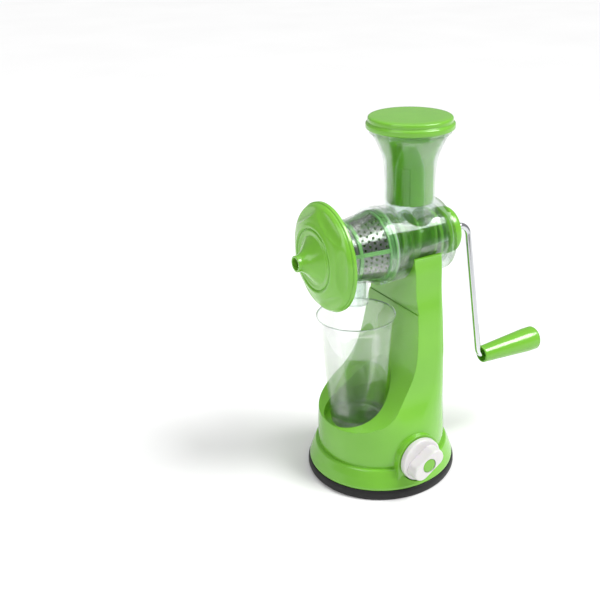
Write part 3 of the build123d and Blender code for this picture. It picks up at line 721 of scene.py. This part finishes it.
@dataclass
class Strainer:
    """Perforated steel cone in its pale plastic frame."""

    frame: dict
    thickness: float = 0.6
    cell: float = 4.5                 # spacing of the holes
    hole: float = 1.05                # radius of a hole
    lip: float = 0.18                 # how far a hole's edge stands proud
    segments: int = 16                # points round a hole
    taper: float = 0.1687             # radius lost per length of the cone

    def sheet(self) -> None:
        """The cone, cut into cells with a round hole in each, every other row shifted by half a cell.

        A cell's outline is a square sampled at equal steps; ring k of it is the blend of the square and the
        hole's circle, and the two skins and the hole's wall follow one another. On the cone, the distance
        across a cell is an angle and the distance along it is x.
        """
        low, high = low_high("strainer_sheet")
        axis = middle("drive_shaft")
        rear_radius = (high[2] - low[2]) / 2
        front_radius = rear_radius - self.taper * (high[0] - low[0])
        rows = round((high[0] - low[0]) / self.cell)
        around = round(math.pi * (front_radius + rear_radius) / self.cell)
        side = np.linspace(-1, 1, self.segments // 4, endpoint=False)
        edge = np.ones_like(side)
        sides = ((edge, side), (-side, edge), (-edge, -side), (side, -edge))
        square = np.concatenate([np.stack(pair, axis=-1) for pair in sides])
        circle = square / np.linalg.norm(square, axis=1, keepdims=True)
        ratio = self.hole / (self.cell / 2)
        rings = np.stack([square, circle * ratio * 1.35, circle * ratio, circle * ratio * 0.98,
                          circle * ratio * 1.3, square])
        under = -self.thickness
        rise = np.array([0, 0.05, self.lip, self.lip + under, 0.02 + under, under])
        row, column = np.meshgrid(np.arange(rows), np.arange(around), indexing="ij")
        shift = column + 0.5 * (row % 2)
        across = (shift[..., None, None] + 0.5 + rings[..., 0] / 2) * 2 * math.pi / around
        along = (row[..., None, None] + 0.5 + rings[..., 1] / 2) / rows
        x = low[0] + along * (high[0] - low[0])
        radius = front_radius + along * (rear_radius - front_radius) - 0.02 + np.minimum(rise, 0)[:, None]
        points = turned(x, radius, across, Line.X, (0, axis[1], axis[2]))
        cells = points.reshape(-1, len(rings), self.segments, 3)
        grid = cells.transpose(1, 0, 2, 3).reshape(len(rings), -1, 3)
        make_piece("strainer_sheet", [CellShell(grid, False, True, self.segments)], Body.STAND, STEEL,
                   ["strainer_sheet"])

    def build(self) -> None:
        """Make the sheet and dress the frame."""
        self.sheet()
        dress(self.frame, PALE, "strainer_frame")


@dataclass
class CellShell(Shell):
    """Many small ring shells side by side: columns close on themselves every so many points."""

    period: int = 16

    def quads(self) -> np.ndarray:
        """Faces between neighbouring rings of each cell."""
        rows, columns = self.points.shape[:2]
        row = np.arange(rows - 1)[:, None]
        column = np.arange(columns)[None, :]
        next_column = column // self.period * self.period + (column + 1) % self.period
        near = row * columns
        far = near + columns
        corners = [near + column, far + column, far + next_column, near + next_column]
        return np.stack(corners, axis=-1).reshape(-1, 4)


@dataclass
class FrontCap:
    """Green front cap: dished cover with six dents, raised ring, cone, nozzle and bayonet collar."""

    bore: float = 5.2
    nozzle: float = 6.9
    cone_base: float = -65.2          # where the cone ends, along the axis
    rim: Pair = (-51.9, 46.4)         # where the rim ends along the axis, and its radius
    lip: float = 2.0                  # how thick the rim is at its end
    dome: tuple[Point, ...] = (
        (-65.1, 30.6, 1.2), (-63.9, 34.6, 1.9), (-61.5, 40.0, 2.6), (-58.6, 43.9, 2.2))
    lining: tuple[Point, ...] = ((-54.4, 43.2, 0.8), (-58.2, 39.8, 2.0), (-61.0, 34.4, 2.0))
    cone: tuple[Point, ...] = ((-73.6, 9.8, 3.2), (-69.4, 15.0, 3.2))
    cone_lining: tuple[Point, ...] = ((-62.6, 22.0, 0.8), (-67.4, 14.4, 2.5), (-71.6, 8.8, 2.5))
    wall: float = 2.2
    collar: Pair = (26.0, 30.0)
    collar_end: float = -44.0
    groove: Pair = (-50.8, -47.2)     # start and end of the bayonet groove along the axis
    groove_depth: float = 1.5
    seat: Pair = (-58.4, 22.4)        # face and inner radius of the seal's seat
    dents: int = 6
    dent_radius: float = 10.0
    dent_centre: Pair = (-69.0, 42.0)
    softness: float = 0.25            # how gently a dent's edge runs out

    def outside(self) -> np.ndarray:
        """The outer profile from the nozzle's tip to the rim."""
        tip = low_high("front_cap")[0][0]
        base = self.cone_base
        end, radius = self.rim
        return rounded([
            (tip, self.bore, 0.3), (tip, self.nozzle, 0.5), (tip + 3.7, self.nozzle, 1.0), *self.cone,
            (base - 0.2, 20.8, 2.0), (base - 0.8, 23.2, 1.0), (base - 0.8, 24.8, 0.5),
            (base + 0.8, 25.8, 0.6), (base - 0.9, 27.0, 0.8), (base - 0.9, 28.6, 1.2), *self.dome,
            (-56.0, 45.6, 0.5), (-55.3, 45.1, 0.4), (-54.7, radius, 0.5), (end, radius, 0.7),
            (end, radius - self.lip, 0.3)], steps=9, closed=False)

    def inside(self) -> np.ndarray:
        """The inner profile from the rim back to the bore, round the collar and its groove."""
        tip = low_high("front_cap")[0][0]
        inner, outer = self.collar
        end, radius = self.rim
        face, seat = self.seat
        front, back = self.groove
        deep = inner + self.groove_depth
        return rounded([
            (end, radius - self.lip, 0), *self.lining, (-62.9, outer, 0.6), (self.collar_end, outer, 0.5),
            (self.collar_end, inner, 0.5), (back, inner, 0.2), (back, deep, 0.2), (front, deep, 0.2),
            (front, inner, 0.2), (face, inner, 0.3), (face, seat, 0.3), *self.cone_lining,
            (-77.4, self.bore, 1.0), (tip, self.bore, 0)], steps=6, closed=False)

    def dented(self, profile: np.ndarray, angle: np.ndarray,
               extra: float) -> tuple[np.ndarray, np.ndarray]:
        """Press the dents into a profile.

        In each sector, the roller's axis is a tangent line at dent_centre. With d the distance to it and
        q = roller radius - d, the point moves away from the axis by (q + sqrt(q^2 + s^2)) / 2 - s / 2
        wherever the dome is near.

        Args:
            profile: (along, radius) rows.
            angle: one row of angles.
            extra: added to the roller's radius, for the inner wall.

        Returns:
            The moved along and radius grids.
        """
        sector = 2 * math.pi / self.dents
        local = (angle % sector) - sector / 2
        along = np.broadcast_to(profile[:, :1], (len(profile), angle.shape[1]))
        radius = np.broadcast_to(profile[:, 1:], along.shape)
        toward = radius * np.cos(local) - self.dent_centre[1]
        aside = along - self.dent_centre[0]
        distance = np.hypot(toward, aside)
        overlap = self.dent_radius + extra - distance
        push = (overlap + np.sqrt(overlap ** 2 + self.softness ** 2)) / 2
        push = np.where(overlap > -3, push - self.softness / 8, 0).clip(0)
        near = smooth_step(radius, 29.8, 31.6) * (1 - smooth_step(radius, 44.6, 45.6))
        push = near * push / distance
        return along + push * aside, radius + push * toward * np.cos(local)

    def build(self) -> None:
        """Make the cap as one closed surface."""
        axis = middle("drive_shaft")
        angle = full_turn(288)
        outer = self.dented(self.outside(), angle, 0.0)
        inner = self.dented(self.inside(), angle, self.wall)
        along = np.concatenate([outer[0], inner[0]])
        radius = np.concatenate([outer[1], inner[1]])
        points = turned(along, radius, angle, Line.X, (0, axis[1], axis[2]))
        make_piece("front_cap", [Shell(points)], Body.CAP, GREEN, ["front_cap"])


@dataclass
class Auger:
    """Green auger: tapered core, helical flight and rear disc, on its steel shaft."""

    frame: dict
    pitch: float = 17.0
    flight: float = 2.6
    radius: float = 24.8
    front_radius: float = 19.2
    taper_end: float = -8.0
    core: Pair = (9.0, 13.0)          # radius of the core at its nose and at its end
    run_in: Pair = (6.0, 4.5)         # how far the flight stays from the auger's two ends
    disc_radius: float = 24.4

    def screw(self) -> Shell:
        """The flight: a closed section swept round the core.

        At turn a the section sits at x = start + pitch * a / 2 pi. Its radius runs from inside the core to
        the envelope, its thickness narrows towards a rounded tip, and both shrink at the two ends.
        """
        low, high = low_high("auger")
        axis = middle("drive_shaft")
        start = low[0] + self.run_in[0]
        end = high[0] - self.run_in[1]
        turns = (end - start) / self.pitch
        angle = np.linspace(0, 2 * math.pi * turns, round(96 * turns))[:, None]
        x = start + self.pitch * angle / (2 * math.pi)
        slope = (self.radius - self.front_radius) / (self.taper_end - low[0] - 4)
        envelope = np.minimum(self.front_radius + slope * (x - low[0] - 4), self.radius) - 0.05
        fade = smooth_step(angle, 0, 0.5) * (1 - smooth_step(angle, angle[-1, 0] - 0.5, angle[-1, 0]))
        section = rounded([(-0.5, 0, 0.0), (-0.5, 1, 0.35), (0.5, 1, 0.35), (0.5, 0, 0.0)], steps=8)
        root = self.core[0] - 1
        radius = root + (envelope - root) * section[None, :, 1] * (0.15 + 0.85 * fade)
        thickness = self.flight * (1.35 - 0.35 * section[None, :, 1])
        along = x + section[None, :, 0] * thickness * (0.2 + 0.8 * fade)
        points = turned(along, radius, math.pi - angle, Line.X, (0, axis[1], axis[2]))
        caps = [np.broadcast_to(points[i].mean(axis=0), points[i].shape)[None] for i in (0, -1)]
        return Shell(np.concatenate([caps[0], points, caps[1]]), wrap_rows=False)

    def body(self) -> Shell:
        """The core with a rounded nose and the rear disc."""
        low, high = low_high("auger")
        axis = middle("drive_shaft")
        nose, tail = self.core
        profile = rounded([
            (low[0], 0, 0), (low[0], nose, 2.5), (high[0] - 3, tail, 0.8),
            (high[0] - 3, self.disc_radius, 0.6), (high[0], self.disc_radius, 0.6), (high[0], 0, 0)],
            closed=False)
        return lathe(profile, Line.X, (0, axis[1], axis[2]), closed=False, count=96)

    def build(self) -> None:
        """Make the auger and dress its shaft."""
        make_piece("auger", [self.body(), self.screw()], Body.CRANK, GREEN, ["auger"])
        dress(self.frame, SHAFT_STEEL, "drive_shaft")


@dataclass
class Crank:
    """Hub, chrome rod and the grip that turns on it."""

    frame: dict
    hub_radius: float = 21.1
    rod_radius: float = 3.0
    bends: Pair = (9.0, 7.0)          # bend radii at the hub and at the grip
    arm_x: float = 94.0
    lean: float = 10.8                # of the hanging arm, degrees
    arm: float = 125.0
    axle_end: float = 152.0
    hub_depth: float = 4.0            # how far the rod runs into the hub
    grip_radii: Pair = (7.7, 11.5)
    grip_socket: Pair = (8.2, 15.0)   # radius and depth of the hollow behind the plug

    def arm_point(self, x: float, distance: float) -> np.ndarray:
        """A point on the arm's plane at a distance from the drive axis."""
        axis = middle("drive_shaft")
        lean = math.radians(self.lean)
        return np.array([x, axis[1] - distance * math.sin(lean), axis[2] - distance * math.cos(lean)])

    def hub(self) -> None:
        """The hub: a thick disc with wide rounded shoulders and a shallow dish at its back."""
        low, high = low_high("crank_hub")
        axis = middle("drive_shaft")
        bore = self.rod_radius + 0.05
        profile = rounded([
            (low[0], 4.05, 0), (low[0], self.hub_radius - 2.6, 1.5), (low[0] + 4, self.hub_radius, 3.0),
            (high[0] - 1, self.hub_radius, 4.2), (high[0], 12, 5), (high[0] - 0.6, 7.5, 1),
            (high[0], 5.5, 1), (high[0], bore, 0.3), (high[0] - 2, bore, 0),
            (low[0] + 11, self.rod_radius, 0), (low[0] + 11, 4.05, 0)])
        shell = lathe(profile, Line.X, (0, axis[1], axis[2]))
        make_piece("crank_hub", [shell], Body.CRANK, GREEN, ["crank_hub"])

    def rod(self) -> None:
        """The rod: straight runs joined by quarter circles of the two bend radii.

        In the plane of the arm, a quarter circle at a corner is centre + radius * (cos t, sin t) in the
        axes of the incoming and outgoing runs.
        """
        start = self.arm_point(low_high("crank_hub")[1][0] - self.hub_depth, 0)
        corners = [self.arm_point(self.arm_x, 0), self.arm_point(self.arm_x, self.arm)]
        finish = self.arm_point(self.axle_end, self.arm)
        ways = [corners[0] - start, corners[1] - corners[0], finish - corners[1]]
        ways = [way / np.linalg.norm(way) for way in ways]
        t = np.linspace(0, math.pi / 2, 24)[:, None]
        bends = []
        for corner, radius, before, after in zip(corners, self.bends, ways, ways[1:]):
            centre = corner - radius * before + radius * after
            bends.append(centre + radius * (np.sin(t) * before - np.cos(t) * after))
        runs = [np.linspace(a, b, 40)[1:-1] for a, b in (
            (start, bends[0][0]), (bends[0][-1], bends[1][0]), (bends[1][-1], finish))]
        path = np.concatenate([start[None], runs[0], bends[0], runs[1], bends[1], runs[2], finish[None]])
        make_piece("crank_rod", [tube(path, self.rod_radius)], Body.CRANK, CHROME, ["crank_rod"])

    def grip(self) -> None:
        """The tapered grip, hollow for the rod, and the domed plug in its end."""
        low, high = low_high("crank_grip")
        centre = self.arm_point(0, self.arm)
        small, large = self.grip_radii
        socket, depth = self.grip_socket
        bore = self.rod_radius + 0.05
        profile = rounded([
            (low[0], 6.4, 0.3), (low[0], small - 0.1, 0.5), (low[0] + 1.4, small + 0.2, 0.6),
            (high[0] - 9, large, 2.5), (high[0], large, 0.25), (high[0], socket, 0.2),
            (high[0] - depth, socket, 0.2), (high[0] - depth, bore, 0.2), (low[0] + 6.4, bore, 0.2),
            (low[0] + 4.9, 6.2, 0.5)])
        axle = (0, centre[1], centre[2])
        make_piece("crank_grip", [lathe(profile, Line.X, axle)], Body.GRIP, GREEN, ["crank_grip"])
        low, high = low_high("grip_end_cap")
        dome = rounded([
            (low[0], 0, 0), (low[0], 8.15, 0.3), (high[0] - 3, 8.15, 0), (high[0] - 2.9, large - 0.02, 0.2),
            (high[0] - 1.6, 10.8, 0.7), (high[0], 7.6, 2.2), (high[0], 0, 0)], closed=False)
        plug = lathe(dome, Line.X, axle, closed=False)
        make_piece("grip_end_cap", [plug], Body.GRIP, GREEN, ["grip_end_cap"])

    def build(self) -> None:
        """Make the hub, rod and grip."""
        self.hub()
        self.rod()
        self.grip()
        dress(self.frame, SHAFT_STEEL, "hub_insert", "grip_retainer")


@dataclass
class Pusher:
    """Fluted stem and the round cap that the hand presses on."""

    stem_radius: float = 19.8
    stem_wall: float = 3.0
    flute_width: float = 7.0
    flute_depth: float = 1.2
    flute_top: float = 280.6
    flare: Pair = (279.5, 310.5)      # heights between which the stem widens into the funnel
    flare_width: float = 10.0
    rim_radius: float = 37.5

    def radius_at(self, height: np.ndarray) -> np.ndarray:
        """The plain stem's radius at a height: stem_radius + flare_width * smooth step over the flare."""
        return self.stem_radius + self.flare_width * smooth_step(height, *self.flare)

    def stem(self) -> None:
        """The stem: a hollow cylinder with four flutes that widens towards its top.

        Where the distance across a flute, radius * sin(local angle), is under half its width and the
        height is below the flute's top, the outer radius drops by the flute's depth with soft sides.
        """
        low, high = low_high("pusher_stem")
        centre = (*middle("pusher_stem")[:2], 0)
        heights = np.concatenate([
            [low[2]], low[2] + np.array([0.15, 0.5, 1.2, 3.0]),
            np.linspace(low[2] + 6, self.flute_top - 3, 12),
            np.linspace(self.flute_top - 2, self.flute_top + 0.5, 10),
            np.linspace(self.flute_top + 1.5, high[2], 18)])[:, None]
        angle = full_turn(360)
        local = (angle % (math.pi / 2)) - math.pi / 4
        across = np.abs(self.stem_radius * np.sin(local))
        flute = 1 - smooth_step(across, self.flute_width / 2 - 0.35, self.flute_width / 2 + 0.25)
        flute = flute * (1 - smooth_step(heights, self.flute_top - 1.4, self.flute_top))
        rounding = 1.2 * (1 - np.sqrt(1 - (1 - np.clip((heights - low[2]) / 1.2, 0, 1)) ** 2))
        outer = self.radius_at(heights) - self.flute_depth * flute - rounding
        floor = low[2] + 2.4
        upper = np.linspace(high[2], self.flute_top - 2, 18)
        lining_z = np.concatenate([upper, [floor + 1, floor, floor]])[:, None]
        lining_r = self.radius_at(lining_z) - self.stem_wall
        lining_r[-2:, 0] = (lining_r[-2, 0] - 1.0, 0.0)
        foot = turned(low[2], np.zeros((1, 1)), angle, Line.Z, centre)
        wall = turned(heights, outer, angle, Line.Z, centre)
        lining = turned(lining_z, lining_r, angle, Line.Z, centre)
        shell = Shell(np.concatenate([foot, wall, lining]), wrap_rows=False)
        make_piece("pusher_stem", [shell], Body.PUSHER, GREEN, ["pusher_stem"])

    def cap(self) -> None:
        """The cap: rolled rim, groove and a shallow crowned top."""
        low, high = low_high("pusher_cap")
        bottom, top = low[2], high[2]
        rim = self.rim_radius
        profile = rounded([
            (bottom, 0, 0), (bottom, rim - 0.8, 0.5), (bottom + 1.0, rim, 0.8), (bottom + 4.8, rim, 1.2),
            (bottom + 6.0, rim - 2.1, 0.6), (bottom + 7.2, rim - 1.75, 0.6), (bottom + 9.4, rim - 1.9, 1.0),
            (top - 0.5, rim - 3.2, 1.2), (top - 0.1, rim - 7, 2), (top, 0, 0)], closed=False)
        centre = (*middle("pusher_cap")[:2], 0)
        shell = lathe(profile, Line.Z, centre, closed=False, count=192)
        make_piece("pusher_cap", [shell], Body.PUSHER, GREEN, ["pusher_cap"])

    def build(self) -> None:
        """Make both pieces."""
        self.stem()
        self.cap()


@dataclass
class JuiceGlass:
    """Thin tumbler with a flared lip and a thick foot."""

    base_radius: float = 23.8
    shoulder: Pair = (94.7, 31.2)     # height above the base and radius where the lip starts to flare
    rim_radius: float = 34.7
    wall: float = 1.7
    foot: float = 5.0

    def build(self) -> None:
        """Turn the tumbler from one closed profile, up the outside, over the lip and down the inside."""
        low, high = low_high("juice_glass")
        base, rim = low[2], high[2]
        shoulder_height, shoulder_radius = self.shoulder
        shoulder_z = base + shoulder_height
        profile = rounded([
            (base + 0.8, 0, 0), (base + 0.6, self.base_radius - 5, 1.0),
            (base, self.base_radius - 3.5, 0.8), (base, self.base_radius - 0.6, 0.5),
            (base + 1.5, self.base_radius + 0.1, 0.8),
            (shoulder_z, shoulder_radius, 3.5), (rim - 1.2, self.rim_radius - 0.5, 0.7),
            (rim - 0.2, self.rim_radius - 0.1, 0.5), (rim - 0.1, self.rim_radius - 0.9, 0.5),
            (rim - 1.4, self.rim_radius - 1.6, 0.7), (shoulder_z, shoulder_radius - self.wall, 3.5),
            (base + self.foot + 2, self.base_radius - self.wall + 0.5, 1.8),
            (base + self.foot, self.base_radius - self.wall - 2.4, 1.8), (base + self.foot - 0.4, 0, 0)],
            steps=9, closed=False)
        centre = (*middle("juice_glass")[:2], 0)
        shell = lathe(profile, Line.Z, centre, closed=False, count=180)
        make_piece("juice_glass", [shell], Body.GLASS, TUMBLER, ["juice_glass"])


# ---------------------------------------------------------------- studio

@dataclass
class Studio:
    """Camera, floor, sky and softboxes."""

    lens: float = 55.19
    shift: Pair = (-0.1413, -0.0351)
    stand_point: Point = (-0.4052, -0.6119, 0.4874)
    tilt: float = 67.39               # from looking straight down, degrees
    heading: float = -33.81           # about the vertical, degrees

    def camera(self) -> None:
        """The camera."""
        data = bpy.data.cameras.new("camera")
        data.lens = self.lens
        data.sensor_width = 36.0
        data.shift_x, data.shift_y = self.shift
        data.clip_start = 0.01
        camera = bpy.data.objects.new("camera", data)
        camera.location = self.stand_point
        camera.rotation_euler = (math.radians(self.tilt), 0.0, math.radians(self.heading))
        bpy.context.scene.collection.objects.link(camera)
        bpy.context.scene.camera = camera

    def floor(self) -> None:
        """A wide pale floor."""
        size = 6.0
        mesh = bpy.data.meshes.new("floor")
        corners = [(-size, -size, 0), (size, -size, 0), (size, size, 0), (-size, size, 0)]
        mesh.from_pydata(corners, [], [(0, 1, 2, 3)])
        graph = Graph("pale_floor", {"Specular IOR Level": 0.2})
        shade = graph.noise(3.0, 2.0)
        graph.feed(Base_Color=graph.ramp(shade, [(0.3, (0.9, 0.9, 0.9)), (0.7, (0.92, 0.92, 0.92))]))
        graph.feed(Roughness=shade * 0.1 + 0.6)
        mesh.materials.append(graph.material)
        floor = bpy.data.objects.new("floor", mesh)
        bpy.context.scene.collection.objects.link(floor)

    def softbox(self, name: str, place: Point, target: Point, size: Pair, power: float) -> None:
        """An area light at a place, facing a target."""
        data = bpy.data.lights.new(name, "AREA")
        data.shape = "RECTANGLE"
        data.size, data.size_y = size
        data.energy = power
        light = bpy.data.objects.new(name, data)
        light.location = place
        way = light.location.__class__(target) - light.location
        light.rotation_euler = way.to_track_quat("-Z", "Y").to_euler()
        bpy.context.scene.collection.objects.link(light)

    def sun(self, place: Point, strength: float, angle: float) -> None:
        """A wide soft sun that shines from a place to the origin."""
        data = bpy.data.lights.new("sun", "SUN")
        data.energy = strength
        data.angle = angle
        light = bpy.data.objects.new("sun", data)
        light.location = place
        light.rotation_euler = light.location.to_track_quat("Z", "Y").to_euler()
        bpy.context.scene.collection.objects.link(light)

    def sky(self, seen: float, cast: float) -> None:
        """A plain surround.

        Args:
            seen: how bright it looks behind the objects.
            cast: how much light it gives.
        """
        world = bpy.data.worlds.new("surround")
        world.use_nodes = True
        tree = world.node_tree
        background = tree.nodes["Background"]
        background.inputs["Color"].default_value = (1, 1, 1, 1)
        rays = tree.nodes.new("ShaderNodeLightPath")
        level = tree.nodes.new("ShaderNodeMapRange")
        level.inputs["To Min"].default_value = cast
        level.inputs["To Max"].default_value = seen
        tree.links.new(rays.outputs["Is Camera Ray"], level.inputs["Value"])
        tree.links.new(level.outputs["Result"], background.inputs["Strength"])
        bpy.context.scene.world = world

    def build(self) -> None:
        """Set up the studio."""
        self.camera()
        self.floor()
        self.sky(1.0, 0.36)
        self.sun((0.8, -0.75, 1.35), 3.1, 0.5)
        self.softbox("left", (-1.0, -0.3, 0.9), (0, 0, 0.18), (0.7, 0.9), 5)
        self.softbox("top", (0.1, 0.1, 1.4), (0, 0, 0.1), (1.0, 1.0), 4)
        bpy.context.scene.view_settings.view_transform = "Standard"


def main() -> None:
    """Build every sub-assembly round the frame."""
    logging.basicConfig(level=logging.INFO, format="%(name)s %(message)s")
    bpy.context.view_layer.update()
    Studio().build()
    for part in (
            Base(frame), Knob(frame), Bowl(frame), Strainer(frame), FrontCap(), Auger(frame), Crank(frame),
            Pusher(), JuiceGlass()):
        part.build()


if __name__ == "__main__":
    main()
